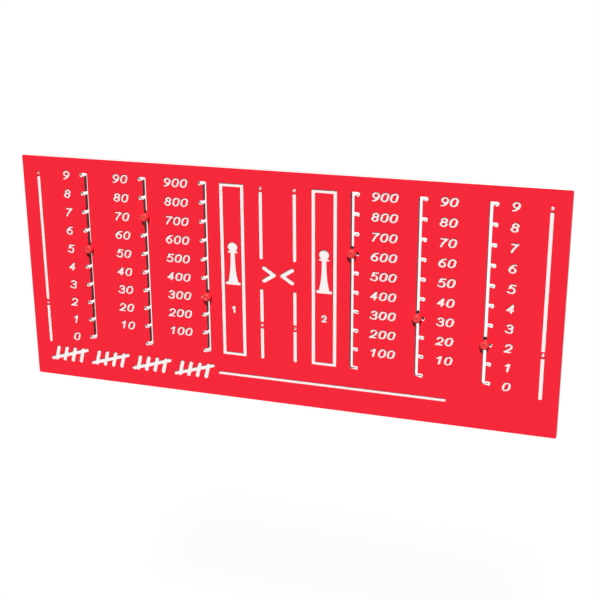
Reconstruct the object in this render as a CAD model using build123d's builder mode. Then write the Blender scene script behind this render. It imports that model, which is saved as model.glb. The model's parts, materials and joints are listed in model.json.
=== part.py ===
from build123d import *

import os
from math import radians, tan

# A score board for two players, made to hang on a wall or between posts. It is a three-layer
# sheet, red on both faces and white inside. Its lines and numerals are routed through the front
# skin, so the white core shows in them. Six comb-shaped slots go right through the sheet, for the
# hundreds, tens and units of each player, and a knob counter slides in each.
# X runs to the right and Z up, seen from the front, which looks towards -Y. The rear face of the
# board is at Y = 0, and the origin is the middle of the eight fixing holes.

os.makedirs("parts", exist_ok=True)

# Layers of the board
skin_thickness = 2.0
core_thickness = 8.0
board_corner_radius = 3.0

# Comb slots: each row has a notch that runs sideways and hooks down at its end
slot_width = 7.6
slot_pitch = 141.0
slot_middle_spacing = 326.0
slots_per_player = 3
row_count = 10
row_pitch = 42.0
notch_reach = 11.4
notch_drop = 1.6

# Board left around the outermost slots
slot_side_margin = 155.0
slot_top_margin = 32.1
slot_bottom_margin = 100.3

# Fixing holes, in two rows of four
fixing_hole_diameter = 7.0
fixing_side_margin = 37.5
fixing_middle_spacing = 75.0
fixing_top_margin = 38.0
fixing_bottom_margin = 178.0

# Lines routed through the front skin, which stop short of the fixing holes
line_width = 7.3
line_end_radius = 1.8
line_hole_margin = 3.0
centre_line_break = 66.0
side_line_bottom_margin = 81.0

# Frames, one for each player
frame_spacing = 205.0
frame_width = 54.7
frame_line_width = 7.4
frame_corner_radius = 1.2

# Slanted numerals beside the slots, drawn as the track of a round cutter
numeral_height = 16.0
numeral_width = 12.1
numeral_cutter = 4.7
numeral_advance = 19.2
numeral_slant_angle = 14.0
numeral_gap = 37.9
numeral_drop = 2.9

# Upright numeral and pawn in each player's frame, placed from the middle of the combs
player_numeral_height = 13.4
player_numeral_width = 8.4
player_numeral_cutter = 4.6
player_numeral_drop = 85.9
pawn_foot_drop = 30.5
pawn_foot_width = 34.0
pawn_foot_thickness = 8.0
pawn_foot_radius = 2.0
pawn_body_height = 66.0
pawn_body_width = 26.0
pawn_body_flare = 20.0
pawn_neck_width = 10.0
pawn_collar_width = 23.0
pawn_collar_thickness = 5.6
pawn_collar_radius = 1.8
pawn_head_diameter = 22.0

# Footer: groups of tally marks, a line, and a bare space at the right
footer_level = 54.8
footer_side_margin = 35.0
footer_line_gap = 10.0
footer_bare_width = 231.0
tally_cutter = 9.0
tally_height = 28.4
tally_pitch = 21.0
tally_bar_count = 4
tally_strike_overhang = 10.0
tally_group_pitch = 104.6
tally_group_count = 4

# Pair of arrowheads in the middle
arrow_cutter = 9.6
arrow_height = 28.4
arrow_depth = 22.0
arrow_tip_gap = 19.0

# Counters: a knob in front, a sleeve in the slot, and a disc, washer and nut behind
running_gap = 0.3
fit_gap = 0.05
sleeve_wall = 0.95
stud_end_chamfer = 0.6
stud_tail = 1.8
knob_diameter = 20.0
knob_foot_height = 1.6
knob_foot_inset = 1.2
knob_side_height = 2.8
knob_crown_height = 6.6
knob_crown_inset = 3.0
knob_cap_thickness = 2.2
knob_dimple_diameter = 4.4
knob_dimple_draft = 0.8
knob_dimple_depth = 1.2
rear_disc_diameter = 24.0
rear_disc_thickness = 3.0
rear_disc_edge_radius = 0.8
washer_margin = 2.5
washer_thickness = 1.6
nut_wall = 1.5
nut_height = 5.0
nut_chamfer = 0.7
nut_collar_wall = 1.2
nut_collar_height = 1.6

# Centre lines of the digits, as shares of a digit's width and height. Each stroke is a chain of
# lines, with two points, and arcs, with three.
digit_stroke_shares = {
    "0": (
        (
            ((0, 0.62), (0.14, 0.9), (0.5, 1)),
            ((0.5, 1), (0.86, 0.9), (1, 0.62)),
            ((1, 0.62), (1, 0.38)),
            ((1, 0.38), (0.86, 0.1), (0.5, 0)),
            ((0.5, 0), (0.14, 0.1), (0, 0.38)),
            ((0, 0.38), (0, 0.62)),
        ),
    ),
    "1": ((((0.12, 0.74), (0.62, 1)), ((0.62, 1), (0.62, 0))),),
    "2": (
        (
            ((0.02, 0.74), (0.5, 1), (0.96, 0.72)),
            ((0.96, 0.72), (0.85, 0.48), (0.6, 0.34)),
            ((0.6, 0.34), (0, 0)),
            ((0, 0), (1, 0)),
        ),
    ),
    "3": (
        (((0.04, 0.84), (0.55, 1), (0.94, 0.76)), ((0.94, 0.76), (0.8, 0.57), (0.4, 0.53))),
        (((0.4, 0.53), (1, 0.3), (0.5, 0)), ((0.5, 0), (0.2, 0.04), (0, 0.16))),
    ),
    "4": ((((0.72, 1), (0, 0.3)), ((0, 0.3), (1, 0.3))), (((0.72, 1), (0.72, 0)),)),
    "5": (
        (
            ((0.95, 1), (0.2, 1)),
            ((0.2, 1), (0.1, 0.55)),
            ((0.1, 0.55), (1, 0.36), (0.45, 0)),
            ((0.45, 0), (0.2, 0.03), (0, 0.15)),
        ),
    ),
    "6": (
        (((0, 0.32), (0.5, 0.62), (1, 0.32)), ((1, 0.32), (0.5, 0), (0, 0.32))),
        (((0, 0.32), (0.2, 0.8), (0.85, 1)),),
    ),
    "7": ((((0, 1), (1, 1)), ((1, 1), (0.55, 0.55), (0.3, 0))),),
    "8": (
        (((0.06, 0.77), (0.5, 1), (0.94, 0.77)), ((0.94, 0.77), (0.5, 0.54), (0.06, 0.77))),
        (((0, 0.27), (0.5, 0.54), (1, 0.27)), ((1, 0.27), (0.5, 0), (0, 0.27))),
    ),
    "9": (
        (((1, 0.68), (0.5, 0.38), (0, 0.68)), ((0, 0.68), (0.5, 1), (1, 0.68))),
        (((1, 0.68), (0.8, 0.2), (0.15, 0)),),
    ),
}

# Each column: its name, the side its notches point to, its place counted outwards from the
# middle, the noughts that its numerals end in, and the row that its counter stands at
columns = (
    ("left_units", -1, 2, 0, 5),
    ("left_tens", -1, 1, 1, 7),
    ("left_hundreds", -1, 0, 2, 3),
    ("right_hundreds", 1, 0, 2, 6),
    ("right_tens", 1, 1, 1, 3),
    ("right_units", 1, 2, 0, 2),
)

board_thickness = core_thickness + 2 * skin_thickness
outer_slot = slot_middle_spacing / 2 + slot_pitch * (slots_per_player - 1)
board_width = 2 * (outer_slot + slot_side_margin)
comb_length = row_pitch * (row_count - 1)
comb_height = comb_length + slot_width
board_height = slot_bottom_margin + comb_height + slot_top_margin
fixing_outer_spacing = board_width - 2 * fixing_side_margin
fixing_rise = board_height - fixing_top_margin - fixing_bottom_margin
upper_hole = fixing_rise / 2
lower_hole = -fixing_rise / 2
board_top = upper_hole + fixing_top_margin
board_bottom = lower_hole - fixing_bottom_margin
comb_foot = board_bottom + slot_bottom_margin
comb_middle = comb_foot + comb_height / 2
bottom_row = comb_foot + slot_width / 2


def slot_place(side, place):
    """X of a comb slot, which is the given number of places outwards from the middle pair."""
    return side * (slot_middle_spacing / 2 + place * slot_pitch)


def row_level(row):
    """Z of a row's notches."""
    return bottom_row + row * row_pitch


def front_plane(depth, x=0, z=0):
    """Plane that faces the front, at the given depth behind the rear face's plane."""
    return Plane(origin=(x, depth, z), x_dir=(1, 0, 0), z_dir=(0, -1, 0))


def cutter_track(path, cutter):
    """Area that a round cutter clears when its middle follows a path."""
    with BuildSketch() as track:
        if path.is_closed:
            make_face(path.offset_2d(cutter / 2).edges())
            make_face(path.offset_2d(-cutter / 2).edges(), mode=Mode.SUBTRACT)
        else:
            make_face(path.offset_2d(cutter / 2, side=Side.BOTH).edges())
    return track.sketch


def digit_area(digit, width, height, cutter, slant_angle):
    """Area of one digit, centred on the origin and leaning to the right by the slant angle."""
    with BuildSketch() as area:
        for stroke in digit_stroke_shares[digit]:
            with BuildLine() as centre_line:
                for piece in stroke:
                    points = [
                        (
                            (across - 0.5) * width + (up - 0.5) * height * tan(radians(slant_angle)),
                            (up - 0.5) * height,
                        )
                        for across, up in piece
                    ]
                    if len(points) == 2:
                        Line(*points)
                    else:
                        ThreePointArc(*points)
            add(cutter_track(centre_line.wires()[0], cutter))
    return area.sketch


# One comb slot with its notches to the right, about the middle of its straight run
with BuildLine() as notch_run:
    Line((0, 0), (notch_reach, 0))

with BuildLine() as notch_hook:
    Line((notch_reach, 0), (notch_reach, -notch_drop))

with BuildSketch() as right_comb:
    SlotCenterToCenter(comb_length, slot_width, rotation=90)
    with GridLocations(0, row_pitch, 1, row_count):
        add(cutter_track(notch_run.wires()[0], slot_width))
        add(cutter_track(notch_hook.wires()[0], slot_width))

with BuildSketch() as left_comb:
    add(mirror(right_comb.sketch, about=Plane.YZ, mode=Mode.PRIVATE))

# Outline that all three layers share, with the comb slots and the fixing holes
with BuildSketch() as layer_outline:
    with Locations((0, (board_top + board_bottom) / 2)):
        RectangleRounded(board_width, board_height, board_corner_radius)
    for name, side, place, noughts, shown_row in columns:
        with Locations((slot_place(side, place), comb_middle)):
            add(right_comb.sketch if side > 0 else left_comb.sketch, mode=Mode.SUBTRACT)
    for spacing in (fixing_outer_spacing, fixing_middle_spacing):
        with GridLocations(spacing, fixing_rise, 2, 2):
            Circle(fixing_hole_diameter / 2, mode=Mode.SUBTRACT)

# Upright lines, each as its X, lower end and upper end
side_line_foot = board_bottom + side_line_bottom_margin
line_hole_gap = fixing_hole_diameter / 2 + line_hole_margin
upright_lines = []
for side in (-1, 1):
    side_line = side * fixing_outer_spacing / 2
    centre_line = side * fixing_middle_spacing / 2
    upright_lines += [
        (side_line, side_line_foot, lower_hole - line_hole_gap),
        (side_line, lower_hole + line_hole_gap, upper_hole - line_hole_gap),
        (centre_line, comb_foot, lower_hole - line_hole_gap),
        (centre_line, lower_hole + line_hole_gap, comb_middle - centre_line_break / 2),
        (centre_line, comb_middle + centre_line_break / 2, upper_hole - line_hole_gap),
    ]

with BuildSketch() as player_frame:
    RectangleRounded(frame_width, comb_height, frame_corner_radius)
    Rectangle(
        frame_width - 2 * frame_line_width,
        comb_height - 2 * frame_line_width,
        mode=Mode.SUBTRACT,
    )

# A pawn, as the sign of a player, which stands on the middle of its foot
body_foot = pawn_foot_thickness / 2
body_top = pawn_foot_thickness + pawn_body_height
with BuildSketch() as pawn:
    with Locations((0, body_foot)):
        RectangleRounded(pawn_foot_width, pawn_foot_thickness, pawn_foot_radius)
    with BuildLine():
        for side in (-1, 1):
            Line((0, body_foot), (side * pawn_body_width / 2, body_foot))
            Bezier(
                (side * pawn_body_width / 2, body_foot),
                (side * pawn_neck_width / 2, body_foot + pawn_body_flare),
                (side * pawn_neck_width / 2, body_top),
            )
            Line((side * pawn_neck_width / 2, body_top), (0, body_top))
    make_face()
    with Locations((0, body_top)):
        RectangleRounded(pawn_collar_width, pawn_collar_thickness, pawn_collar_radius)
    with Locations((0, body_top + pawn_head_diameter / 2)):
        Circle(pawn_head_diameter / 2)

# A group of tally marks, placed by the foot of its first bar
tally_lean = tally_height * tan(radians(numeral_slant_angle))
last_bar = (tally_bar_count - 1) * tally_pitch
with BuildSketch() as tally_group:
    for bar in range(tally_bar_count):
        with BuildLine() as bar_path:
            Line((bar * tally_pitch, 0), (bar * tally_pitch + tally_lean, tally_height))
        add(cutter_track(bar_path.wires()[0], tally_cutter))
    with BuildLine() as strike_path:
        Line(
            (-tally_strike_overhang, 0),
            (last_bar + tally_lean + tally_strike_overhang, tally_height),
        )
    add(cutter_track(strike_path.wires()[0], tally_cutter))

# A pair of arrowheads that point at each other
with BuildSketch() as arrow_pair:
    for side in (-1, 1):
        tip = side * arrow_tip_gap / 2
        tail = tip + side * arrow_depth
        with BuildLine() as arrow_path:
            Line((tail, arrow_height / 2), (tip, 0))
            Line((tip, 0), (tail, -arrow_height / 2))
        add(cutter_track(arrow_path.wires()[0], arrow_cutter))

# Middle of each digit beside the slots
numeral_lean = numeral_height * tan(radians(numeral_slant_angle))
digit_span = numeral_width + numeral_cutter + numeral_lean
digit_places = {digit: [] for digit in digit_stroke_shares}
for name, side, place, noughts, shown_row in columns:
    near_edge = slot_place(side, place) + side * numeral_gap
    left_edge = near_edge if side > 0 else near_edge - noughts * numeral_advance - digit_span
    for row in range(row_count):
        if noughts and row == 0:
            continue
        for position, digit in enumerate(str(row) + "0" * noughts):
            digit_x = left_edge + digit_span / 2 + position * numeral_advance
            digit_places[digit].append((digit_x, row_level(row) - numeral_drop))

# Footer, from the left: tally marks, then a line, then the bare space
footer_middle = board_bottom + footer_level
first_tally = -board_width / 2 + footer_side_margin + tally_strike_overhang + tally_cutter / 2
last_tally = first_tally + (tally_group_count - 1) * tally_group_pitch
tally_end = last_tally + last_bar + tally_lean + tally_strike_overhang + tally_cutter / 2
footer_line_start = tally_end + footer_line_gap
footer_line_end = board_width / 2 - footer_bare_width
tally_places = [
    (first_tally + group * tally_group_pitch, footer_middle - tally_height / 2)
    for group in range(tally_group_count)
]

# Everything that is routed through the front skin
with BuildSketch() as routing:
    for line_x, lower_end, upper_end in upright_lines:
        with Locations((line_x, (lower_end + upper_end) / 2)):
            RectangleRounded(line_width, upper_end - lower_end, line_end_radius)
    with Locations(((footer_line_start + footer_line_end) / 2, footer_middle)):
        RectangleRounded(footer_line_end - footer_line_start, line_width, line_end_radius)
    with Locations(*tally_places):
        add(tally_group.sketch)
    with Locations((0, comb_middle)):
        add(arrow_pair.sketch)
    for side, digit in ((-1, "1"), (1, "2")):
        player_numeral = digit_area(
            digit, player_numeral_width, player_numeral_height, player_numeral_cutter, 0
        )
        with Locations((side * frame_spacing / 2, comb_middle)):
            add(player_frame.sketch)
        with Locations((side * frame_spacing / 2, comb_middle - pawn_foot_drop)):
            add(pawn.sketch)
        with Locations((side * frame_spacing / 2, comb_middle - player_numeral_drop)):
            add(player_numeral)
    for digit, places in digit_places.items():
        numeral_digit = digit_area(
            digit, numeral_width, numeral_height, numeral_cutter, numeral_slant_angle
        )
        with Locations(*places):
            add(numeral_digit)

with BuildSketch() as front_outline:
    add(layer_outline.sketch)
    add(routing.sketch, mode=Mode.SUBTRACT)

# The three layers, from the rear
with BuildPart() as rear_skin:
    with BuildSketch(front_plane(0)):
        add(layer_outline.sketch)
    extrude(amount=skin_thickness)
rear_skin.part.label = "rear_skin"
export_step(rear_skin.part, "parts/rear_skin.step")

with BuildPart() as core_sheet:
    with BuildSketch(front_plane(-skin_thickness)):
        add(layer_outline.sketch)
    extrude(amount=core_thickness)
core_sheet.part.label = "core_sheet"
export_step(core_sheet.part, "parts/core_sheet.step")

# The front skin is several solids: the sheet, and islands of it inside the routed outlines.
# They don't touch, so they are kept as they are extruded.
with BuildPart() as front_skin:
    with BuildSketch(front_plane(-skin_thickness - core_thickness)):
        add(front_outline.sketch)
    extrude(amount=skin_thickness, mode=Mode.REPLACE)
front_skin.part.label = "front_skin"
export_step(front_skin.part, "parts/front_skin.step")

# Sizes of a counter that follow from the slot
sleeve_diameter = slot_width - 2 * running_gap
stud_diameter = sleeve_diameter - 2 * (sleeve_wall + fit_gap)
bore_radius = stud_diameter / 2 + fit_gap
washer_diameter = stud_diameter + 2 * washer_margin
nut_flats = stud_diameter + 2 * nut_wall
nut_collar_diameter = stud_diameter + 2 * nut_collar_wall

# Sizes of its knob, measured out from the seat on the board
knob_radius = knob_diameter / 2
knob_height = knob_foot_height + knob_side_height + knob_crown_height
knob_dimple_floor = knob_height - knob_dimple_depth
knob_bore_depth = knob_dimple_floor - knob_cap_thickness

# Y of each seat of a counter, from the knob's in front to the stud's end behind
knob_seat = -board_thickness - running_gap
disc_seat = running_gap
washer_seat = disc_seat + rear_disc_thickness
nut_seat = washer_seat + washer_thickness
collar_seat = nut_seat + nut_height
collar_end = collar_seat + nut_collar_height
stud_front = knob_seat - knob_bore_depth + fit_gap
stud_end = collar_end + stud_tail


def make_ring(name, diameter, seat, thickness, x, z):
    """Make a ring round the stud at X and Z, from its seat towards the rear, and return it."""
    with BuildPart() as ring:
        with BuildSketch(front_plane(seat + thickness, x, z)):
            Circle(diameter / 2)
            Circle(bore_radius, mode=Mode.SUBTRACT)
        extrude(amount=thickness)
    ring.part.label = name
    return ring


def make_counter(column, x, z):
    """Make the six pieces of a column's counter, round a stud at X and Z, and write them."""
    with BuildPart() as knob:
        # First value out from the board along the stud, second value out from the stud's middle
        with BuildSketch(Plane(origin=(x, knob_seat, z), x_dir=(0, -1, 0), z_dir=(0, 0, 1))):
            with BuildLine():
                Polyline(
                    (knob_dimple_floor, 0),
                    (knob_bore_depth, 0),
                    (knob_bore_depth, bore_radius),
                    (0, bore_radius),
                    (0, knob_radius - knob_foot_inset),
                    (knob_foot_height, knob_radius),
                    (knob_foot_height + knob_side_height, knob_radius),
                )
                TangentArc(
                    (knob_foot_height + knob_side_height, knob_radius),
                    (knob_height, knob_radius - knob_crown_inset),
                    tangent=(1, 0),
                )
                Polyline(
                    (knob_height, knob_radius - knob_crown_inset),
                    (knob_height, knob_dimple_diameter / 2),
                    (knob_dimple_floor, knob_dimple_diameter / 2 - knob_dimple_draft),
                    (knob_dimple_floor, 0),
                )
            make_face()
        revolve(axis=Axis((x, knob_seat, z), (0, -1, 0)))
    knob.part.label = f"{column}_knob"
    export_step(knob.part, f"parts/{column}_knob.step")

    with BuildPart() as stud:
        with BuildSketch(front_plane(stud_end, x, z)):
            Circle(stud_diameter / 2)
        extrude(amount=stud_end - stud_front)
        chamfer(stud.edges().filter_by(GeomType.CIRCLE), stud_end_chamfer)
    stud.part.label = f"{column}_stud"
    export_step(stud.part, f"parts/{column}_stud.step")

    sleeve = make_ring(
        f"{column}_sleeve", sleeve_diameter, knob_seat, disc_seat - knob_seat, x, z
    )
    export_step(sleeve.part, f"parts/{column}_sleeve.step")

    with BuildPart() as rear_disc:
        with BuildSketch(front_plane(washer_seat, x, z)):
            Circle(rear_disc_diameter / 2)
            Circle(bore_radius, mode=Mode.SUBTRACT)
        extrude(amount=rear_disc_thickness)
        rims = rear_disc.edges().filter_by(GeomType.CIRCLE).group_by(SortBy.RADIUS)[-1]
        fillet(rims, rear_disc_edge_radius)
    rear_disc.part.label = f"{column}_rear_disc"
    export_step(rear_disc.part, f"parts/{column}_rear_disc.step")

    washer = make_ring(
        f"{column}_washer", washer_diameter, washer_seat, washer_thickness, x, z
    )
    export_step(washer.part, f"parts/{column}_washer.step")

    with BuildPart() as lock_nut:
        with BuildSketch(front_plane(collar_seat, x, z)):
            RegularPolygon(nut_flats / 2, 6, major_radius=False)
        extrude(amount=nut_height)
        chamfer(lock_nut.edges().group_by(Axis.Y)[-1], nut_chamfer)
        with BuildSketch(front_plane(collar_end, x, z)):
            Circle(nut_collar_diameter / 2)
        extrude(amount=nut_collar_height)
        with BuildSketch(front_plane(collar_end, x, z)):
            Circle(bore_radius)
        extrude(amount=nut_height + nut_collar_height, mode=Mode.SUBTRACT)
    lock_nut.part.label = f"{column}_lock_nut"
    export_step(lock_nut.part, f"parts/{column}_lock_nut.step")


for name, side, place, noughts, shown_row in columns:
    make_counter(name, slot_place(side, place), row_level(shown_row))
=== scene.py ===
"""Looks of a wall-hung score board for two players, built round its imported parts.

The board is a three-layer plastic sheet, red on both faces and white inside. Its numerals and
lines are routed through the front skin, and a knob counter slides in each of six comb slots.
Lengths are metres. X runs to the right and Z up, and the front of the board looks towards -Y.
"""

import json
import logging
import math
from collections.abc import Callable, Iterable
from dataclasses import dataclass
from enum import Enum
from typing import Any

import bmesh
import bpy
from mathutils import Matrix, Quaternion, Vector

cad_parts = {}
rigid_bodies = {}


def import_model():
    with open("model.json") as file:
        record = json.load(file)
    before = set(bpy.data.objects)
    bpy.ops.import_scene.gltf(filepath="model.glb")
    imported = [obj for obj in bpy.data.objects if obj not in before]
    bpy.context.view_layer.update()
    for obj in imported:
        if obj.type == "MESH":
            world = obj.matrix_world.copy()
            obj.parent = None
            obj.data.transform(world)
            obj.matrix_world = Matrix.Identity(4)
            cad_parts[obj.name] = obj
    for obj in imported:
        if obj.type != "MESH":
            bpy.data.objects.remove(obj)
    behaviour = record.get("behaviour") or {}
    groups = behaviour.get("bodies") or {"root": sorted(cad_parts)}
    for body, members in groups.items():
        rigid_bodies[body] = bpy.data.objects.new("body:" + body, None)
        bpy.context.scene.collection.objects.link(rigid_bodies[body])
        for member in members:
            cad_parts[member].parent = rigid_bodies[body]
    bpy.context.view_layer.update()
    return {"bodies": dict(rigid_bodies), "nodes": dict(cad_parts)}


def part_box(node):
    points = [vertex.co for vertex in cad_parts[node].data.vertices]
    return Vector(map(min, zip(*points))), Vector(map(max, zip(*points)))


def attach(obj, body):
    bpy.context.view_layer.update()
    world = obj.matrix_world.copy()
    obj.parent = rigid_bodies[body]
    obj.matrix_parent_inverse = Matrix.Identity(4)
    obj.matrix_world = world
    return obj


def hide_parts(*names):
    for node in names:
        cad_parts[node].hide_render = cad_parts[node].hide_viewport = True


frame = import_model()

Colour = tuple[float, float, float]
Place = tuple[float, float, float]
# The values at which a smooth share starts and ends
Steps = tuple[float, float]
# Radius of a ring at an angle about its axis
RadiusAt = Callable[[float], float]
WHITE = (1.0, 1.0, 1.0, 1.0)
log = logging.getLogger("score_board")


class Slot(Enum):
    """The record's material slots."""

    SKIN_RED = "skin_red"
    CORE_WHITE = "core_white"
    KNOB_RED = "knob_red"
    SLEEVE_WHITE = "sleeve_white"
    DISC_BLACK = "disc_black"
    STEEL = "steel"


class Side(Enum):
    """The face of the board whose edges are eased, as the sign of its normal's Y."""

    FRONT = -1
    REAR = 1


@dataclass(frozen=True)
class SlotRuns:
    """Where the slots' middle lines are: three in each half of the board, alike left and right."""

    middle: float = 0.304
    pitch: float = 0.141
    level: float = -0.0359
    half_length: float = 0.189


class Link:
    """One output of a shader tree, with the arithmetic that its values are used in."""

    def __init__(self, tree: "ShaderTree", socket: bpy.types.NodeSocket) -> None:
        """Holds the socket and the tree that it belongs to."""
        self.tree = tree
        self.socket = socket

    def other(self, name: str) -> "Link":
        """Another output of the same node."""
        return Link(self.tree, self.socket.node.outputs[name])

    def __add__(self, value: "Link | float") -> "Link":
        """This value plus another."""
        return self.tree.maths("ADD", self, value)

    __radd__ = __add__

    def __sub__(self, value: "Link | float") -> "Link":
        """This value less another."""
        return self.tree.maths("SUBTRACT", self, value)

    def __rsub__(self, value: float) -> "Link":
        """A number less this value."""
        return self.tree.maths("SUBTRACT", value, self)

    def __mul__(self, value: "Link | float") -> "Link":
        """This value times another."""
        return self.tree.maths("MULTIPLY", self, value)

    __rmul__ = __mul__

    def __abs__(self) -> "Link":
        """This value without its sign."""
        return self.tree.maths("ABSOLUTE", self)

    def smallest(self, value: "Link | float") -> "Link":
        """The smaller of this value and another."""
        return self.tree.maths("MINIMUM", self, value)

    def largest(self, value: "Link | float") -> "Link":
        """The larger of this value and another."""
        return self.tree.maths("MAXIMUM", self, value)

    def centred(self) -> "Link":
        """A value from 0 to 1, measured from its middle."""
        return self - 0.5

    def between(self, low: float, high: float) -> "Link":
        """A smooth share of the way from low to high.

        Args:
            low: The value up to which the share is 0.
            high: The value from which it is 1.

        Returns:
            The share.
        """
        return self.tree.node(
            "ShaderNodeMapRange",
            {"interpolation_type": "SMOOTHSTEP"},
            {"Value": self, "From Min": low, "From Max": high},
        )


class ShaderTree:
    """The nodes of one material, or of the world."""

    def __init__(self, nodes: bpy.types.NodeTree) -> None:
        """Empties the tree."""
        self.nodes = nodes
        self.nodes.nodes.clear()

    def node(
        self,
        kind: str,
        settings: dict[str, Any] | None = None,
        inputs: dict[str | int, Any] | None = None,
        output: str | int = 0,
    ) -> Link:
        """Adds a node.

        Args:
            kind: The node's Blender type.
            settings: Its properties, which are set before its sockets are filled.
            inputs: A value or a link for each socket, by name or by number.
            output: The output that is wanted.

        Returns:
            The link to that output.
        """
        made = self.nodes.nodes.new(kind)
        for name, value in (settings or {}).items():
            setattr(made, name, value)
        for name, value in (inputs or {}).items():
            if isinstance(value, Link):
                self.nodes.links.new(value.socket, made.inputs[name])
            else:
                made.inputs[name].default_value = value
        return Link(self, made.outputs[output] if made.outputs else None)

    def maths(self, operation: str, *values: "Link | float") -> Link:
        """The result of a Math node on one or two values."""
        return self.node("ShaderNodeMath", {"operation": operation}, dict(enumerate(values)))

    def mix(self, share: Link, first: "Link | Colour", second: "Link | Colour") -> Link:
        """A colour between two others.

        Args:
            share: How much of the second it holds, from 0 to 1.
            first: The colour at 0.
            second: The colour at 1.

        Returns:
            The colour.
        """
        first_socket, second_socket, colour_output = 6, 7, 2
        values = [v if isinstance(v, Link) else (*v, 1.0) for v in (first, second)]
        return self.node(
            "ShaderNodeMix",
            {"data_type": "RGBA"},
            {0: share, first_socket: values[0], second_socket: values[1]},
            colour_output,
        )

    def place(self, middle: Place = (0, 0, 0), scale: Place = (1, 1, 1)) -> Link:
        """The place on the object.

        Args:
            middle: The point that it is measured from.
            scale: The factor along each axis.

        Returns:
            The place, in Object coordinates.
        """
        spot = self.node("ShaderNodeTexCoord", output="Object")
        shift = tuple(-m * s for m, s in zip(middle, scale))
        return self.node("ShaderNodeMapping", inputs={"Vector": spot, "Location": shift, "Scale": scale})

    def from_slot(self, spot: Link, runs: SlotRuns) -> Link:
        """Distance on the board's face from the nearest slot's middle line.

        Args:
            spot: The place on the board.
            runs: Where the slots are.

        Returns:
            The distance.
        """
        across = self.node("ShaderNodeSeparateXYZ", inputs={"Vector": spot}, output="X")
        from_middle = abs(abs(across) - runs.middle)
        aside = from_middle.smallest(abs(from_middle - runs.pitch))
        beyond = (abs(across.other("Z") - runs.level) - runs.half_length).largest(0.0)
        return self.maths("SQRT", aside * aside + beyond * beyond)

    def noise(self, spot: Link, size: float, detail: float = 2.0, seed: float = 0.0) -> Link:
        """Noise, from 0 to 1.

        Args:
            spot: The place on the object.
            size: About the size of its patches.
            detail: How many finer layers it holds.
            seed: Which of many such patterns it is.

        Returns:
            The noise.
        """
        return self.node(
            "ShaderNodeTexNoise",
            {"noise_dimensions": "4D"},
            {"Vector": spot, "Scale": 1 / size, "Detail": detail, "W": seed},
        )

    def wave(
        self, spot: Link, pitch: float, settings: dict[str, str], distortion: float, detail: float
    ) -> Link:
        """Waves across the object or about a line, from 0 to 1.

        Args:
            spot: The place on the object.
            pitch: About the distance from one wave to the next.
            settings: The kind of wave and its direction.
            distortion: How far the waves wander.
            detail: How finely they wander.

        Returns:
            The height of the waves.
        """
        plain_pitch = 0.3
        return self.node(
            "ShaderNodeTexWave",
            settings,
            {"Vector": spot, "Scale": plain_pitch / pitch, "Distortion": distortion, "Detail": detail},
            "Fac",
        )

    def bump(self, height: Link, depth: float) -> Link:
        """A normal that is bent by a relief.

        Args:
            height: The relief, from 0 to 1.
            depth: The distance that a height of 1 stands for.

        Returns:
            The normal.
        """
        return self.node("ShaderNodeBump", inputs={"Height": height, "Distance": depth})

    def surface(self, shader: Link) -> None:
        """Makes a shader the surface of the material or the world."""
        kind = "ShaderNodeOutputWorld" if self.is_world else "ShaderNodeOutputMaterial"
        self.node(kind, inputs={"Surface": shader})

    @property
    def is_world(self) -> bool:
        """True where these are the world's nodes."""
        return self.nodes in [world.node_tree for world in bpy.data.worlds]


@dataclass(frozen=True, kw_only=True)
class Finish:
    """A surface: its colour and how it shines. Each kind adds the marks that it carries."""

    colour: Colour
    roughness: float
    specular: float = 0.5

    def dress(self, tree: ShaderTree) -> dict[str, Link]:
        """Adds the marks of this finish and returns the shader's inputs that vary."""
        raise NotImplementedError

    def constants(self) -> dict[str, Any]:
        """The shader's inputs that are the same all over."""
        return {
            "Base Color": (*self.colour, 1.0),
            "Roughness": self.roughness,
            "Specular IOR Level": self.specular,
        }

    def material(self, name: str) -> bpy.types.Material:
        """Makes the material.

        Args:
            name: The material's name.

        Returns:
            The material, with its marks on Object coordinates.
        """
        made = bpy.data.materials.new(name)
        made.use_nodes = True
        tree = ShaderTree(made.node_tree)
        inputs = {**self.constants(), **self.dress(tree)}
        tree.surface(tree.node("ShaderNodeBsdfPrincipled", inputs=inputs))
        return made


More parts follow.
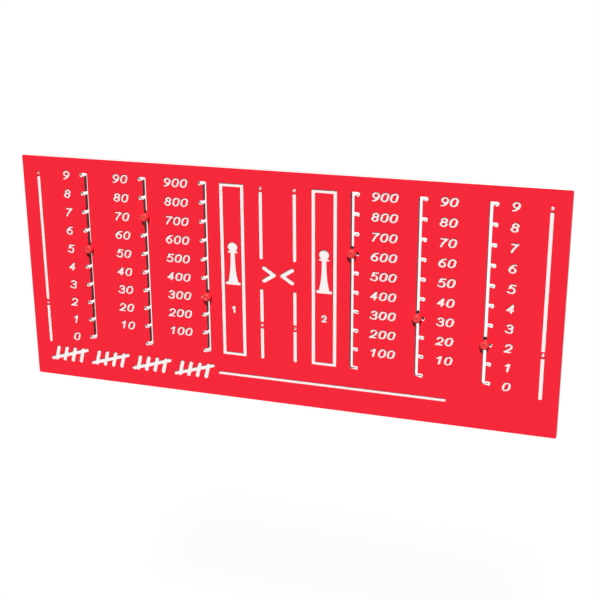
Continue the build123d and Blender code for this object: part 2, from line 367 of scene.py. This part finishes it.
@dataclass(frozen=True, kw_only=True)
class SkinFinish(Finish):
    """Red polyethylene skin, fine grained and faintly scuffed, and rubbed smooth beside the slots."""

    colour: Colour = (0.878, 0.018, 0.036)
    roughness: float = 0.46
    specular: float = 0.14
    faded: Colour = (0.892, 0.019, 0.040)
    grain_size: float = 0.0021
    grain_depth: float = 0.00012
    mottle_size: float = 0.16
    mottle_roughness: float = 0.12
    scuff_length: float = 0.05
    scuff_width: float = 0.0011
    scuff_steps: Steps = (0.66, 0.74)
    scuffed_size: float = 0.08
    scuffed_steps: Steps = (0.5, 0.62)
    scuff_roughness: float = 0.14
    scuff_flattening: float = 0.3
    runs: SlotRuns = SlotRuns()
    rub_steps: Steps = (0.00882, 0.0098)
    rub_shine: float = 0.07
    rub_flattening: float = 0.15

    def dress(self, tree: ShaderTree) -> dict[str, Link]:
        """Adds the grain, the mottling, the scuffs and the rubbed bands."""
        spot = tree.place()
        mottle = tree.noise(spot, self.mottle_size, detail=4.0)
        long, wide = 1 / self.scuff_length, 1 / self.scuff_width
        streaks = tree.noise(tree.place(scale=(long, long, wide)), 1.0, detail=1.0, seed=3.0)
        patches = tree.noise(spot, self.scuffed_size, detail=1.0, seed=7.0)
        scuffs = streaks.between(*self.scuff_steps) * patches.between(*self.scuffed_steps)
        rubbed = 1 - tree.from_slot(spot, self.runs).between(*self.rub_steps)
        dulled = mottle.centred() * self.mottle_roughness + scuffs * self.scuff_roughness
        flattened = rubbed * self.rub_flattening + scuffs * self.scuff_flattening
        grain = tree.noise(spot, self.grain_size, detail=1.5, seed=1.0)
        return {
            "Base Color": tree.mix(mottle, self.colour, self.faded),
            "Roughness": self.roughness + dulled - rubbed * self.rub_shine,
            "Normal": tree.bump(grain - flattened, self.grain_depth),
        }


@dataclass(frozen=True, kw_only=True)
class CoreFinish(Finish):
    """White polyethylene as a router leaves it, with fine cutter marks, and painted shade on the slot
    walls.
    """

    colour: Colour = (0.895, 0.885, 0.875)
    roughness: float = 0.55
    specular: float = 0.08
    dusty: Colour = (0.865, 0.852, 0.838)
    dust_steps: Steps = (0.45, 0.8)
    patch_size: float = 0.03
    # Painted shade: a dark reddish colour laid on the slot walls in place of their shade, and not soil
    painted_slot_shade: Colour = (0.20, 0.05, 0.045)
    slot_shade_steps: Steps = (0.0040, 0.0052)
    slot_shade_least: float = 0.9
    runs: SlotRuns = SlotRuns()
    mark_pitch: float = 0.0013
    mark_depth: float = 0.00007
    mark_roughness: float = 0.1

    def dress(self, tree: ShaderTree) -> dict[str, Link]:
        """Adds the cutter marks, a little dust, and painted shade on the slot walls, dark and reddish
        like shade with red bounce.
        """
        spot = tree.place()
        patches = tree.noise(spot, self.patch_size, detail=3.0)
        dusty = tree.mix(patches.between(*self.dust_steps), self.colour, self.dusty)
        # Mask for the painted shade on the slot walls, a little patchy
        in_slot = 1 - tree.from_slot(spot, self.runs).between(*self.slot_shade_steps)
        slot_shade = in_slot * (self.slot_shade_least + patches * (1 - self.slot_shade_least))
        bands = {"wave_type": "BANDS", "bands_direction": "DIAGONAL"}
        marks = tree.wave(spot, self.mark_pitch, bands, distortion=1.2, detail=2.0)
        return {
            "Base Color": tree.mix(slot_shade, dusty, self.painted_slot_shade),
            "Roughness": self.roughness + marks.centred() * self.mark_roughness,
            "Normal": tree.bump(marks, self.mark_depth),
        }


@dataclass(frozen=True, kw_only=True)
class MouldedFinish(Finish):
    """Moulded plastic, which is fine grained and a little worn where it is handled."""

    colour: Colour
    roughness: float
    worn: Colour
    wear_steps: Steps = (0.4, 0.75)
    wear_roughness: float = 0.18
    middle: Place
    grain_size: float = 0.0006
    grain_depth: float = 0.00002
    patch_size: float = 0.006

    def dress(self, tree: ShaderTree) -> dict[str, Link]:
        """Adds the grain and the patches of wear."""
        spot = tree.place(self.middle)
        patches = tree.noise(spot, self.patch_size, detail=3.0)
        grain = tree.noise(spot, self.grain_size, detail=1.0, seed=2.0)
        return {
            "Base Color": tree.mix(patches.between(*self.wear_steps), self.colour, self.worn),
            "Roughness": self.roughness + patches.centred() * self.wear_roughness,
            "Normal": tree.bump(grain, self.grain_depth),
        }


@dataclass(frozen=True, kw_only=True)
class TurnedSteelFinish(Finish):
    """Plain stainless steel, with fine tool rings about its own axis."""

    colour: Colour = (0.60, 0.60, 0.59)
    roughness: float = 0.33
    dulled_roughness: float = 0.2
    middle: Place
    ring_pitch: float = 0.00022
    ring_depth: float = 0.000006
    patch_size: float = 0.004

    def constants(self) -> dict[str, Any]:
        """The shader's inputs that are the same all over."""
        return {**super().constants(), "Metallic": 1.0}

    def dress(self, tree: ShaderTree) -> dict[str, Link]:
        """Adds the tool rings and patches of dulled metal."""
        spot = tree.place(self.middle)
        patches = tree.noise(spot, self.patch_size, detail=3.0)
        about_axis = {"wave_type": "RINGS", "rings_direction": "Y"}
        rings = tree.wave(spot, self.ring_pitch, about_axis, distortion=0.6, detail=1.0)
        return {
            "Roughness": self.roughness + patches.centred() * self.dulled_roughness,
            "Normal": tree.bump(rings, self.ring_depth),
        }


def smooth_below(mesh: bmesh.types.BMesh, angle: float) -> None:
    """Shades faces smooth, and keeps the sharper edges.

    Args:
        mesh: The mesh.
        angle: The turn from which an edge stays sharp.
    """
    for face in mesh.faces:
        face.smooth = True
    for edge in mesh.edges:
        edge.smooth = edge.is_manifold and edge.calc_face_angle(math.pi) < angle


def round_edges(
    mesh: bmesh.types.BMesh, edges: list[bmesh.types.BMEdge], width: float, segments: int
) -> None:
    """Rounds some edges of a mesh.

    Args:
        mesh: The mesh.
        edges: Its edges that are rounded.
        width: How far from the edge the rounding starts.
        segments: Steps in the rounding.
    """
    bmesh.ops.bevel(
        mesh, geom=edges, offset=width, affect="EDGES", segments=segments, profile=0.5, material=-1
    )


def add_object(name: str, data: bpy.types.ID) -> bpy.types.Object:
    """Puts an object in the scene, at the origin.

    Args:
        name: The object's name.
        data: Its mesh, lamp or camera.

    Returns:
        The object.
    """
    made = bpy.data.objects.new(name, data)
    bpy.context.scene.collection.objects.link(made)
    return made


def add_piece(
    name: str,
    mesh: bmesh.types.BMesh,
    material: bpy.types.Material,
    body: str,
    slot: Slot,
    *stands_for: str,
) -> bpy.types.Object:
    """Turns a finished mesh into a piece of the object.

    Args:
        name: The piece's name.
        mesh: Its mesh, in place. It is freed.
        material: Its material.
        body: The body that it moves with.
        slot: The record's material slot of the piece. It is not used.
        stands_for: The CAD nodes that it replaces.

    Returns:
        The object, at the origin.
    """
    data = bpy.data.meshes.new(name)
    mesh.to_mesh(data)
    mesh.free()
    data.materials.append(material)
    piece = add_object(name, data)
    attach(piece, body)
    if stands_for:
        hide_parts(*stands_for)
    log.info("%s: %d faces, rides on %s", name, len(data.polygons), body)
    return piece


def dress_node(name: str, material: bpy.types.Material) -> None:
    """Gives a CAD node that stays its material.

    Args:
        name: The node's name.
        material: Its material.
    """
    node = frame["nodes"][name]
    for place in node.material_slots:
        place.link = "OBJECT"
        place.material = material
    log.info("%s: CAD node, dressed", name)


@dataclass
class Board:
    """The three-layer sheet. Its skins get eased edges, and its core stays as it is."""

    edge_easing: float = 0.0002
    easing_segments: int = 2
    merge_distance: float = 0.000001
    flat_angle: float = math.radians(0.5)
    smooth_angle: float = math.radians(28)
    level_normal: float = 0.99

    def eased_skin(self, node: str, side: Side) -> bmesh.types.BMesh:
        """Copies a skin and eases the edges of its outer face.

        Args:
            node: The CAD node of the skin.
            side: The face that is seen.

        Returns:
            The copy, merged and eased.
        """
        mesh = bmesh.new()
        mesh.from_mesh(frame["nodes"][node].data)
        bmesh.ops.remove_doubles(mesh, verts=mesh.verts, dist=self.merge_distance)
        walls = [edge for edge in mesh.edges if self.is_wall(edge)]
        bmesh.ops.dissolve_limit(mesh, angle_limit=self.flat_angle, verts=[], edges=walls)
        rims = [edge for edge in mesh.edges if self.is_rim(edge, side)]
        round_edges(mesh, rims, self.edge_easing, self.easing_segments)
        bmesh.ops.triangulate(mesh, faces=mesh.faces)
        smooth_below(mesh, self.smooth_angle)
        for face in mesh.faces:
            face.smooth = abs(face.normal.y) < self.level_normal
        return mesh

    def is_wall(self, edge: bmesh.types.BMEdge) -> bool:
        """Tells the edges between the walls of cuts from those of the board's faces.

        Args:
            edge: An edge of a skin.

        Returns:
            True where all faces of the edge look across the board.
        """
        return all(abs(face.normal.y) < 1 - self.level_normal for face in edge.link_faces)

    def is_rim(self, edge: bmesh.types.BMEdge, side: Side) -> bool:
        """Tells the edges that are eased.

        Args:
            edge: An edge of a skin.
            side: The face of the board that is seen.

        Returns:
            True where one face of the edge looks out of the board and the other across it.
        """
        if len(edge.link_faces) != 2:
            return False
        outward = sorted(face.normal.y * side.value for face in edge.link_faces)
        return outward[1] > self.level_normal and abs(outward[0]) < 1 - self.level_normal

    def build(self) -> None:
        """Makes both skins and dresses the core."""
        skin = SkinFinish().material("red_skin")
        for node, side in (("front_skin", Side.FRONT), ("rear_skin", Side.REAR)):
            mesh = self.eased_skin(node, side)
            add_piece(f"{node}_eased", mesh, skin, "board", Slot.SKIN_RED, node)
        dress_node("core_sheet", CoreFinish().material("white_core"))


@dataclass
class Counter:
    """A knob counter: knob in front, sleeve in the slot, and disc, washer and lock nut behind."""

    column: str
    segments: int = 72
    merge_distance: float = 0.0000005
    sharp_angle: float = math.radians(40)
    smooth_angle: float = math.radians(34)
    bore_gap: float = 0.00005
    rounding: float = 0.00025
    rounding_segments: int = 3
    foot_height: float = 0.0016
    foot_inset: float = 0.0012
    side_height: float = 0.0028
    crown_inset: float = 0.0030
    crown_steps: int = 10
    dimple_radius: float = 0.0022
    dimple_draft: float = 0.0008
    dimple_depth: float = 0.0012
    pip_radius: float = 0.0005
    pip_height: float = 0.0003
    pip_shoulder_radius: float = 0.00035
    pip_shoulder_height: float = 0.00024
    cap_thickness: float = 0.0022
    disc_rounding: float = 0.0008
    disc_rounding_steps: int = 5
    disc_bore_rounding: float = 0.000125
    recess_margin: float = 0.0021
    recess_depth: float = 0.0005
    nut_chamfer: float = math.radians(30)
    nut_chamfer_steps: int = 6
    nut_height: float = 0.005
    collar_wall: float = 0.0012
    collar_lip_height: float = 0.0005
    collar_lip_draw: float = 0.000075
    nylon_wall: float = 0.0005
    nylon_sink: float = 0.00025
    nylon_depth: float = 0.00075
    nylon_rounding: float = 0.0000625
    stud_segments: int = 40
    thread_pitch: float = 0.0008
    thread_depth: float = 0.00045
    thread_length: float = 0.0036
    rows_per_turn: int = 8
    end_chamfer: float = 0.0006

    def __post_init__(self) -> None:
        """Reads where the counter stands, and the sizes that its pieces share."""
        low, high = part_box(f"{self.column}_knob")
        self.middle = (low + high) / 2
        self.stud_radius = self.extent("stud")[0]
        self.bore = self.stud_radius + self.bore_gap

    def finish_middle(self) -> Place:
        """The counter's middle to a thousandth of a millimetre, for finishes laid about its axis."""
        return tuple(round(value, 6) for value in self.middle)

    def extent(self, piece: str) -> tuple[float, float, float]:
        """Size and place of one of the counter's CAD nodes.

        Args:
            piece: The node's name without the column.

        Returns:
            Its radius, front Y and rear Y.
        """
        low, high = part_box(f"{self.column}_{piece}")
        return (high.x - low.x) / 2, low.y, high.y

    def turned(self, outline: list[tuple[float, float]], closed: bool) -> bmesh.types.BMesh:
        """Turns an outline about the counter's axis.

        Args:
            outline: Its points, each as a radius and a Y.
            closed: True where the outline's end joins its start, as for a ring.

        Returns:
            The turned mesh, closed and facing outwards.
        """
        mesh = bmesh.new()
        points = [
            mesh.verts.new((self.middle.x + radius, depth, self.middle.z))
            for radius, depth in outline
        ]
        pairs = list(zip(points, points[1:]))
        if closed:
            pairs.append((points[-1], points[0]))
        edges = [mesh.edges.new(pair) for pair in pairs]
        bmesh.ops.spin(
            mesh,
            geom=points + edges,
            cent=self.middle,
            axis=(0, 1, 0),
            angle=math.tau,
            steps=self.segments,
            use_merge=True,
        )
        bmesh.ops.remove_doubles(mesh, verts=mesh.verts, dist=self.merge_distance)
        bmesh.ops.recalc_face_normals(mesh, faces=mesh.faces)
        return mesh

    def rounded(self, mesh: bmesh.types.BMesh, width: float) -> bmesh.types.BMesh:
        """Rounds the sharp edges of a turned mesh.

        Args:
            mesh: The mesh.
            width: How far from an edge its rounding starts.

        Returns:
            The same mesh.
        """
        sharp = [
            edge
            for edge in mesh.edges
            if edge.is_manifold and edge.calc_face_angle() > self.sharp_angle
        ]
        round_edges(mesh, sharp, width, self.rounding_segments)
        smooth_below(mesh, self.smooth_angle)
        return mesh

    def stacked(
        self, rings: list[tuple[float, RadiusAt]], segments: int, closed: bool
    ) -> bmesh.types.BMesh:
        """Draws a circle out through a stack of rings, each with its own shape.

        Args:
            rings: Each ring's Y, and its radius at a given angle.
            segments: Points in each ring.
            closed: True where the last ring joins the first. Otherwise both ends are capped.

        Returns:
            The mesh, closed and facing outwards.
        """
        mesh = bmesh.new()
        about_axis = Matrix.Translation(self.middle) @ Matrix.Rotation(math.pi / 2, 4, "X")
        bmesh.ops.create_circle(
            mesh, cap_ends=False, radius=1.0, segments=segments, matrix=about_axis
        )
        edges = first_edges = list(mesh.edges)
        self.shape_ring(mesh.verts, *rings[0])
        for depth, radius_at in rings[1:]:
            made = bmesh.ops.extrude_edge_only(mesh, edges=edges)["geom"]
            verts = [part for part in made if isinstance(part, bmesh.types.BMVert)]
            edges = [
                part
                for part in made
                if isinstance(part, bmesh.types.BMEdge) and all(vert in verts for vert in part.verts)
            ]
            self.shape_ring(verts, depth, radius_at)
        if closed:
            bmesh.ops.bridge_loops(mesh, edges=first_edges + edges)
        else:
            bmesh.ops.holes_fill(mesh, edges=mesh.edges, sides=0)
        bmesh.ops.recalc_face_normals(mesh, faces=mesh.faces)
        smooth_below(mesh, self.smooth_angle)
        return mesh

    def shape_ring(
        self, verts: Iterable[bmesh.types.BMVert], depth: float, radius_at: RadiusAt
    ) -> None:
        """Moves a ring of points to its Y and its radius, and keeps each point's angle.

        Args:
            verts: The points.
            depth: The Y that they go to.
            radius_at: The ring's radius at an angle.
        """
        for vert in verts:
            angle = math.atan2(vert.co.z - self.middle.z, vert.co.x - self.middle.x)
            radius = radius_at(angle)
            vert.co = (
                self.middle.x + radius * math.cos(angle),
                depth,
                self.middle.z + radius * math.sin(angle),
            )

    def knob(self) -> bmesh.types.BMesh:
        """The knob: a foot, a straight side, a domed shoulder and a flat face with a dimple."""
        radius, front, seat = self.extent("knob")
        side_top = seat - self.foot_height - self.side_height
        rise = side_top - front
        arc = (rise**2 + self.crown_inset**2) / (2 * self.crown_inset)
        sweep = math.asin(rise / arc)
        crown = [
            (
                radius - arc * (1 - math.cos(sweep * step / self.crown_steps)),
                side_top - arc * math.sin(sweep * step / self.crown_steps),
            )
            for step in range(self.crown_steps + 1)
        ]
        floor = front + self.dimple_depth
        bore_end = floor + self.cap_thickness
        outline = [
            (0, bore_end),
            (self.bore, bore_end),
            (self.bore, seat),
            (radius - self.foot_inset, seat),
            (radius, seat - self.foot_height),
            *crown,
            (self.dimple_radius, front),
            (self.dimple_radius - self.dimple_draft, floor),
            (self.pip_radius, floor),
            (self.pip_shoulder_radius, floor - self.pip_shoulder_height),
            (0, floor - self.pip_height),
        ]
        return self.rounded(self.turned(outline, closed=False), self.rounding)

    def rear_disc(self) -> bmesh.types.BMesh:
        """The moulded disc behind the board, with a shallow recess round its hub."""
        radius, front, rear = self.extent("rear_disc")
        hub = self.extent("washer")[0] + self.rounding
        steps = self.disc_rounding_steps
        quarter = [math.pi / 2 * step / steps for step in range(steps + 1)]
        fillet = self.disc_rounding
        front_rim = [
            (radius - fillet * (1 - math.sin(turn)), front + fillet * (1 - math.cos(turn)))
            for turn in quarter
        ]
        rear_rim = [
            (radius - fillet * (1 - math.cos(turn)), rear - fillet * (1 - math.sin(turn)))
            for turn in quarter
        ]
        recess = rear - self.recess_depth
        recess_edge = radius - self.recess_margin
        outline = [
            (self.bore, front),
            *front_rim,
            *rear_rim,
            (recess_edge, rear),
            (recess_edge - self.recess_depth, recess),
            (hub + self.recess_depth, recess),
            (hub, rear),
            (self.bore, rear),
        ]
        return self.rounded(self.turned(outline, closed=True), self.disc_bore_rounding)

    def washer(self) -> bmesh.types.BMesh:
        """The stamped washer, rounded where the die drew it down."""
        radius, front, rear = self.extent("washer")
        outline = [(self.bore, front), (radius, front), (radius, rear), (self.bore, rear)]
        return self.rounded(self.turned(outline, closed=True), self.rounding)

    def lock_nut(self) -> bmesh.types.BMesh:
        """The hexagon with its chamfered corners, and the collar that holds the nylon."""
        low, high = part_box(f"{self.column}_lock_nut")
        front, rear = low.y, high.y
        half_side = math.pi / 6
        flat = min(high.x - low.x, high.z - low.z) / 2
        corner = flat / math.cos(half_side)
        turned_by = 0.0 if high.x - low.x > high.z - low.z else half_side
        shoulder = front + self.nut_height
        collar = self.stud_radius + self.collar_wall
        nylon_radius = self.bore + self.nylon_wall
        nylon_seat = rear - self.nylon_depth

        def hexagon(limit: float) -> RadiusAt:
            """Radius of the hexagon at an angle, cut by a round limit."""

            def radius_at(angle: float) -> float:
                """Radius at an angle."""
                off_flat = (angle - turned_by) % (half_side * 2) - half_side
                return min(flat / math.cos(off_flat), limit)

            return radius_at

        def circle(size: float) -> RadiusAt:
            """The same radius all round."""
            return lambda angle: size

        drop = (corner - flat) * math.tan(self.nut_chamfer)
        steps = self.nut_chamfer_steps
        body = [
            (front + drop * step / steps, hexagon(flat + (corner - flat) * step / steps))
            for step in range(steps + 1)
        ]
        body += [
            (shoulder - drop * step / steps, hexagon(flat + (corner - flat) * step / steps))
            for step in range(steps, -1, -1)
        ]
        lip = self.rounding
        rings = [
            (front, circle(self.bore)),
            *body,
            (shoulder, circle(collar)),
            (rear - self.collar_lip_height, circle(collar)),
            (rear - lip, circle(collar - self.collar_lip_draw)),
            (rear, circle(collar - lip)),
            (rear, circle(nylon_radius + lip)),
            (rear - lip, circle(nylon_radius)),
            (nylon_seat, circle(nylon_radius)),
            (nylon_seat, circle(self.bore)),
        ]
        return self.stacked(rings, self.segments, closed=True)

    def nylon_ring(self) -> bmesh.types.BMesh:
        """The nylon that grips the stud, just inside the nut's collar."""
        rear = self.extent("lock_nut")[2]
        seat, face = rear - self.nylon_depth, rear - self.nylon_sink
        outer = self.bore + self.nylon_wall
        outline = [(self.bore, seat), (outer, seat), (outer, face), (self.bore, face)]
        return self.rounded(self.turned(outline, closed=True), self.nylon_rounding)

    def stud(self) -> bmesh.types.BMesh:
        """The stud, with a thread on the end that shows behind the nut."""
        radius, front, rear = self.extent("stud")
        start = rear - self.thread_length
        rows = round(self.thread_length / self.thread_pitch * self.rows_per_turn)

        def thread(depth: float) -> RadiusAt:
            """Radius of the thread round the stud at a Y."""
            run_in = min(1.0, (depth - start) / self.thread_pitch)
            end_limit = radius - max(0.0, depth - (rear - self.end_chamfer))

            def radius_at(angle: float) -> float:
                """Radius at an angle."""
                turn = (depth / self.thread_pitch - angle / math.tau) % 1
                cut = 1 - abs(2 * turn - 1)
                return min(radius - self.thread_depth * cut * run_in, end_limit)

            return radius_at

        rings = [
            (front, lambda angle: radius - self.end_chamfer),
            (front + self.end_chamfer, lambda angle: radius),
        ]
        rings += [
            (depth, thread(depth))
            for depth in (start + self.thread_length * row / rows for row in range(rows + 1))
        ]
        return self.stacked(rings, self.stud_segments, closed=False)

    def build(self) -> None:
        """Makes the counter's pieces and dresses the sleeve."""
        middle = self.finish_middle()
        body = f"{self.column}_counter"
        red = MouldedFinish(
            colour=(0.78, 0.026, 0.031), worn=(0.81, 0.034, 0.040), roughness=0.27, middle=middle
        )
        black = MouldedFinish(
            colour=(0.022, 0.022, 0.023), worn=(0.034, 0.034, 0.035), roughness=0.42, middle=middle
        )
        white = MouldedFinish(
            colour=(0.80, 0.79, 0.75), worn=(0.76, 0.745, 0.70), roughness=0.45, middle=middle
        )
        nylon = MouldedFinish(
            colour=(0.66, 0.67, 0.64), worn=(0.60, 0.61, 0.57), roughness=0.40, middle=middle
        )
        steel = TurnedSteelFinish(middle=middle).material(f"{self.column}_steel")
        for piece, mesh, material, slot in (
            ("knob", self.knob(), red.material(f"{self.column}_red"), Slot.KNOB_RED),
            ("stud", self.stud(), steel, Slot.STEEL),
            ("rear_disc", self.rear_disc(), black.material(f"{self.column}_black"), Slot.DISC_BLACK),
            ("washer", self.washer(), steel, Slot.STEEL),
            ("lock_nut", self.lock_nut(), steel, Slot.STEEL),
        ):
            node = f"{self.column}_{piece}"
            add_piece(f"{node}_made", mesh, material, body, slot, node)
        ring = nylon.material(f"{self.column}_nylon")
        add_piece(f"{self.column}_nylon_ring", self.nylon_ring(), ring, body, Slot.SLEEVE_WHITE)
        dress_node(f"{self.column}_sleeve", white.material(f"{self.column}_white"))


@dataclass
class Lamp:
    """A soft lamp, far away, whose width is the angle in degrees that it is seen under."""

    name: str
    azimuth: float
    elevation: float
    strength: float
    width: float
    distance: float = 3.0

    def build(self) -> None:
        """Adds the lamp."""
        data = bpy.data.lights.new(self.name, "SUN")
        data.energy = self.strength
        data.angle = math.radians(self.width)
        lamp = add_object(self.name, data)
        towards = sight_line(self.azimuth, self.elevation)
        lamp.rotation_mode = "QUATERNION"
        lamp.rotation_quaternion = towards.to_track_quat("-Z", "Y")
        lamp.location = -towards * self.distance


def sight_line(azimuth: float, elevation: float) -> Vector:
    """Direction of looking, or of light, from an azimuth and an elevation in degrees.

    Args:
        azimuth: 0 looks along +Y and 90 along -X.
        elevation: Height above the horizon from which it looks down.

    Returns:
        The unit direction.
    """
    around, above = math.radians(azimuth), math.radians(elevation)
    return Vector(
        (
            -math.sin(around) * math.cos(above),
            math.cos(around) * math.cos(above),
            -math.sin(above),
        )
    )


@dataclass
class Studio:
    """Pale floor, soft light, white surroundings and the photograph's viewpoint."""

    floor_level: float = -1.4
    floor_size: float = 120.0
    floor_seen: Colour = (0.84, 0.84, 0.84)
    floor_bounce: Colour = (0.10, 0.10, 0.10)
    floor_white: float = 0.96
    ambient: float = 0.06
    aim: Place = (0.04937, -0.012, -0.08541)
    azimuth: float = 18.5987
    elevation: float = 18.3194
    roll: float = -0.287
    distance: float = 2.42403
    lens: float = 68.52
    sensor: float = 36.0

    def seen_directly(self, tree: ShaderTree) -> Link:
        """1 for the camera's own rays and for those of reflections and glass."""
        rays = tree.node("ShaderNodeLightPath", output="Is Camera Ray")
        seen = rays + rays.other("Is Glossy Ray") + rays.other("Is Transmission Ray")
        return seen.smallest(1.0)

    def build_floor(self) -> None:
        """Adds the floor, which is nearly white to the eye and keeps the board's shadow."""
        mesh = bmesh.new()
        bmesh.ops.create_grid(mesh, x_segments=1, y_segments=1, size=self.floor_size / 2)
        bmesh.ops.translate(mesh, verts=mesh.verts, vec=(0, 0, self.floor_level))
        data = bpy.data.meshes.new("floor")
        mesh.to_mesh(data)
        mesh.free()
        material = bpy.data.materials.new("floor_paper")
        material.use_nodes = True
        tree = ShaderTree(material.node_tree)
        seen = self.seen_directly(tree)
        colour = tree.mix(seen, self.floor_bounce, self.floor_seen)
        paper = tree.node("ShaderNodeBsdfDiffuse", inputs={"Color": colour})
        white = tree.node("ShaderNodeEmission", inputs={"Color": WHITE, "Strength": 1.0})
        share = seen * self.floor_white
        tree.surface(tree.node("ShaderNodeMixShader", inputs={0: share, 1: paper, 2: white}))
        data.materials.append(material)
        floor = add_object("floor", data)

    def build_world(self) -> None:
        """Makes the surroundings white to the eye, and a softer fill for everything else."""
        world = bpy.data.worlds.new("surroundings")
        bpy.context.scene.world = world
        world.use_nodes = True
        tree = ShaderTree(world.node_tree)
        seen = self.seen_directly(tree)
        strength = seen * (1 - self.ambient) + self.ambient
        tree.surface(tree.node("ShaderNodeBackground", inputs={"Color": WHITE, "Strength": strength}))

    def build_camera(self) -> None:
        """Adds the camera at the photograph's viewpoint."""
        data = bpy.data.cameras.new("camera")
        data.lens = self.lens
        data.sensor_width = self.sensor
        data.clip_end = self.floor_size
        camera = add_object("camera", data)
        towards = sight_line(self.azimuth, self.elevation)
        camera.location = Vector(self.aim) - towards * self.distance
        camera.rotation_mode = "QUATERNION"
        level = towards.to_track_quat("-Z", "Y")
        camera.rotation_quaternion = level @ Quaternion((0, 0, 1), math.radians(self.roll))
        bpy.context.scene.camera = camera

    def build(self) -> None:
        """Makes the studio."""
        bpy.context.scene.view_settings.view_transform = "Standard"
        self.build_camera()
        self.build_floor()
        self.build_world()
        for lamp in (
            Lamp("key", azimuth=9, elevation=50, strength=4.6, width=8),
            Lamp("rear_fill", azimuth=180, elevation=6, strength=2.1, width=4),
        ):
            lamp.build()
        log.info("studio: floor, surroundings, camera and lamps")


def main() -> None:
    """Builds the studio, the board and its counters."""
    logging.basicConfig(level=logging.INFO, format="%(name)s: %(message)s")
    Studio().build()
    Board().build()
    ending = "_counter"
    for body in frame["bodies"]:
        if body.endswith(ending):
            Counter(body.removesuffix(ending)).build()


if __name__ == "__main__":
    main()
